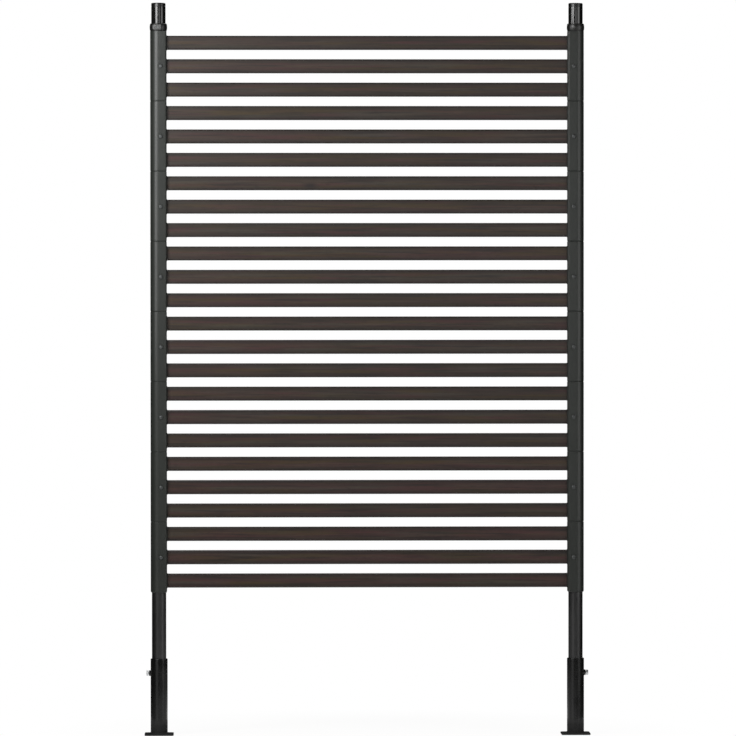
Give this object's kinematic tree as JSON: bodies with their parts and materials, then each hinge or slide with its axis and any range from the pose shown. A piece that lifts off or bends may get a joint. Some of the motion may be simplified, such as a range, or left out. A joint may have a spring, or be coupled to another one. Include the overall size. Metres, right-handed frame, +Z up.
{
  "type": "garden fence panel",
  "caption": "Garden screen of horizontal wood-look slats held by moulded brackets on round steel posts, which stand in bolt-down sockets with clamp bolts.",
  "frame": {"origin": "on the ground, midway between the two posts", "axes": "+X along the slats to the right seen from the front, +Y to the back, +Z up"},
  "size_m": [0.893, 0.058, 1.4662],
  "materials": {
    "slat_resin": "dark brown wood-grain resin, satin",
    "bracket_plastic": "charcoal moulded plastic, fine matte",
    "post_paint": "black gloss paint on steel tube",
    "cap_plastic": "black gloss plastic",
    "collar_paint": "black gloss paint on a cast ring",
    "socket_paint": "black semi-gloss paint on steel",
    "zinc_steel": "bright zinc-plated steel"
  },
  "bodies": {
    "ground_sockets": {"left_base_plate": "socket_paint", "left_socket_sleeve": "socket_paint", "left_weld_nut": "socket_paint", "right_base_plate": "socket_paint", "right_socket_sleeve": "socket_paint", "right_weld_nut": "socket_paint"},
    "fence": {"slat_01": "slat_resin", "slat_02": "slat_resin", "slat_03": "slat_resin", "slat_04": "slat_resin", "slat_05": "slat_resin", "slat_06": "slat_resin", "slat_07": "slat_resin", "slat_08": "slat_resin", "slat_09": "slat_resin", "slat_10": "slat_resin", "slat_11": "slat_resin", "slat_12": "slat_resin", "slat_13": "slat_resin", "slat_14": "slat_resin", "slat_15": "slat_resin", "slat_16": "slat_resin", "slat_17": "slat_resin", "slat_18": "slat_resin", "slat_19": "slat_resin", "slat_20": "slat_resin", "slat_21": "slat_resin", "slat_22": "slat_resin", "slat_23": "slat_resin", "slat_24": "slat_resin", "left_bracket_1": "bracket_plastic", "left_bracket_2": "bracket_plastic", "left_bracket_3": "bracket_plastic", "left_bracket_4": "bracket_plastic", "left_bracket_5": "bracket_plastic", "left_bracket_6": "bracket_plastic", "left_bracket_7": "bracket_plastic", "left_bracket_8": "bracket_plastic", "left_post": "post_paint", "left_post_cap": "cap_plastic", "left_stop_collar": "collar_paint", "left_set_screw": "zinc_steel", "left_bracket_screws": "zinc_steel", "right_bracket_1": "bracket_plastic", "right_bracket_2": "bracket_plastic", "right_bracket_3": "bracket_plastic", "right_bracket_4": "bracket_plastic", "right_bracket_5": "bracket_plastic", "right_bracket_6": "bracket_plastic", "right_bracket_7": "bracket_plastic", "right_bracket_8": "bracket_plastic", "right_post": "post_paint", "right_post_cap": "cap_plastic", "right_stop_collar": "collar_paint", "right_set_screw": "zinc_steel", "right_bracket_screws": "zinc_steel"},
    "left_clamp": {"left_clamp_bolt": "zinc_steel"},
    "right_clamp": {"right_clamp_bolt": "zinc_steel"}
  },
  "joints": [
    {"name": "fence_lift", "type": "slide", "parent": "ground_sockets", "child": "fence", "axis": [0, 0, 1], "range_m": [0, 0.16]},
    {"name": "left_clamp_turn", "type": "hinge", "parent": "ground_sockets", "child": "left_clamp", "pos_m": [-0.4175, 0, 0.124], "axis": [-1, 0, 0], "range_deg": [0, 720]},
    {"name": "right_clamp_turn", "type": "hinge", "parent": "ground_sockets", "child": "right_clamp", "pos_m": [0.4175, 0, 0.124], "axis": [1, 0, 0], "range_deg": [0, 720]}
  ]
}
